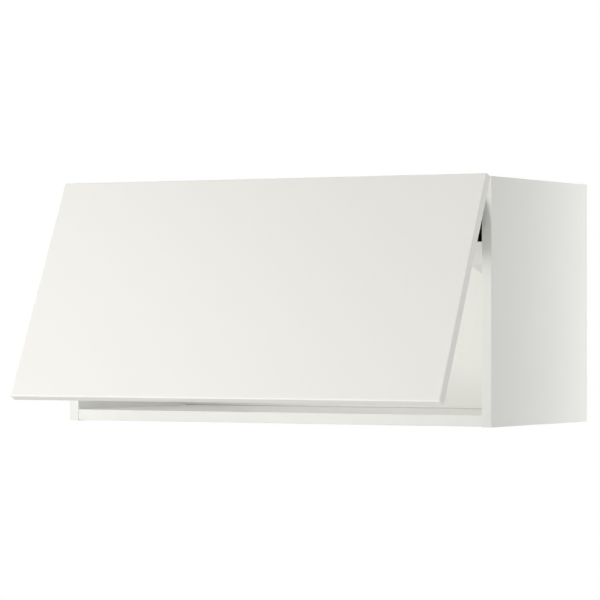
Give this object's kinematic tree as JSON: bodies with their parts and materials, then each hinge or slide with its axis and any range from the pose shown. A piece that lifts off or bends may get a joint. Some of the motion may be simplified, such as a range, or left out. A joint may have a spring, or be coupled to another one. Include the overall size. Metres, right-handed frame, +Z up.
{
  "type": "wall cabinet",
  "caption": "White horizontal wall cabinet with a plain slab door that lifts up on a multi-link lift fitting at each side, for kitchen storage above a worktop.",
  "frame": {"origin": "on the wall plane, midway between the two hanging bolt holes", "axes": "+X to the right seen from the front, +Y towards the wall, +Z up"},
  "size_m": [0.8, 0.551, 0.4039],
  "materials": {
    "carcass_board": "white foil on chipboard, satin",
    "door_board": "white foil on fibreboard, satin",
    "back_board": "white painted hardboard",
    "beech": "turned beech",
    "black_plastic": "moulded, fine texture",
    "grey_plastic": "moulded, fine texture",
    "spring_steel": "blued strip",
    "cast_zinc": "die cast",
    "plated_steel": "zinc plated",
    "soft_bumper": "clear soft plastic"
  },
  "bodies": {
    "cabinet": {"side_panel_left": "carcass_board", "side_panel_right": "carcass_board", "top_panel": "carcass_board", "bottom_panel": "carcass_board", "back_panel": "back_board", "wood_dowels": "beech", "cam_bolts": "plated_steel", "cam_discs": "cast_zinc", "hanging_bracket_left": "plated_steel", "hanging_bracket_right": "plated_steel", "hanging_bracket_screws": "plated_steel", "lift_base_screws": "plated_steel", "lift_base_left": "plated_steel", "lift_housing_left": "black_plastic", "lift_cover_left": "grey_plastic", "lift_damper_left": "black_plastic", "lift_spring_left": "spring_steel", "lift_base_right": "plated_steel", "lift_housing_right": "black_plastic", "lift_cover_right": "grey_plastic", "lift_damper_right": "black_plastic", "lift_spring_right": "spring_steel"},
    "door": {"door_panel": "door_board", "door_bumpers": "soft_bumper", "door_bracket_screws": "plated_steel", "door_bracket_left": "plated_steel", "door_bracket_rivets_left": "plated_steel", "door_bracket_right": "plated_steel", "door_bracket_rivets_right": "plated_steel"},
    "front_lever_left": {"front_lever_left": "plated_steel", "front_lever_shaft_left": "plated_steel", "front_lever_rivets_left": "plated_steel"},
    "rear_lever_left": {"rear_lever_left": "plated_steel", "rear_lever_shaft_left": "plated_steel", "rear_lever_rivet_left": "plated_steel"},
    "upper_link_left": {"upper_link_left": "plated_steel"},
    "lower_link_left": {"lower_link_left": "plated_steel"},
    "front_lever_right": {"front_lever_right": "plated_steel", "front_lever_shaft_right": "plated_steel", "front_lever_rivets_right": "plated_steel"},
    "rear_lever_right": {"rear_lever_right": "plated_steel", "rear_lever_shaft_right": "plated_steel", "rear_lever_rivet_right": "plated_steel"},
    "upper_link_right": {"upper_link_right": "plated_steel"},
    "lower_link_right": {"lower_link_right": "plated_steel"}
  },
  "joints": [
    {"name": "door_lift", "type": "hinge", "parent": "cabinet", "child": "door", "pos_m": [0, -0.3735, 0.0453], "axis": [-1, 0, 0], "range_deg": [-24.8, 80.2]},
    {"name": "front_lever_left_turn", "type": "hinge", "parent": "cabinet", "child": "front_lever_left", "pos_m": [-0.378, -0.33814, 0.00995], "axis": [-1, 0, 0], "range_deg": [-24.8, 80.2]},
    {"name": "rear_lever_left_turn", "type": "hinge", "parent": "cabinet", "child": "rear_lever_left", "pos_m": [-0.378, -0.31269, -0.01551], "axis": [-1, 0, 0], "range_deg": [-24.8, 80.2]},
    {"name": "upper_link_left_turn", "type": "hinge", "parent": "front_lever_left", "child": "upper_link_left", "pos_m": [-0.378, -0.34029, -0.02211], "axis": [-1, 0, 0], "range_deg": [-80.2, 24.8]},
    {"name": "lower_link_left_turn", "type": "hinge", "parent": "front_lever_left", "child": "lower_link_left", "pos_m": [-0.378, -0.35161, -0.04662], "axis": [-1, 0, 0], "range_deg": [-80.2, 24.8]},
    {"name": "front_lever_right_turn", "type": "hinge", "parent": "cabinet", "child": "front_lever_right", "pos_m": [0.378, -0.33814, 0.00995], "axis": [-1, 0, 0], "range_deg": [-24.8, 80.2]},
    {"name": "rear_lever_right_turn", "type": "hinge", "parent": "cabinet", "child": "rear_lever_right", "pos_m": [0.378, -0.31269, -0.01551], "axis": [-1, 0, 0], "range_deg": [-24.8, 80.2]},
    {"name": "upper_link_right_turn", "type": "hinge", "parent": "front_lever_right", "child": "upper_link_right", "pos_m": [0.378, -0.34029, -0.02211], "axis": [-1, 0, 0], "range_deg": [-80.2, 24.8]},
    {"name": "lower_link_right_turn", "type": "hinge", "parent": "front_lever_right", "child": "lower_link_right", "pos_m": [0.378, -0.35161, -0.04662], "axis": [-1, 0, 0], "range_deg": [-80.2, 24.8]}
  ],
  "couplings": [
    {"joint": "front_lever_left_turn", "follows": "door_lift", "ratio": 1},
    {"joint": "rear_lever_left_turn", "follows": "door_lift", "ratio": 1},
    {"joint": "upper_link_left_turn", "follows": "door_lift", "ratio": -1},
    {"joint": "lower_link_left_turn", "follows": "door_lift", "ratio": -1},
    {"joint": "front_lever_right_turn", "follows": "door_lift", "ratio": 1},
    {"joint": "rear_lever_right_turn", "follows": "door_lift", "ratio": 1},
    {"joint": "upper_link_right_turn", "follows": "door_lift", "ratio": -1},
    {"joint": "lower_link_right_turn", "follows": "door_lift", "ratio": -1}
  ]
}
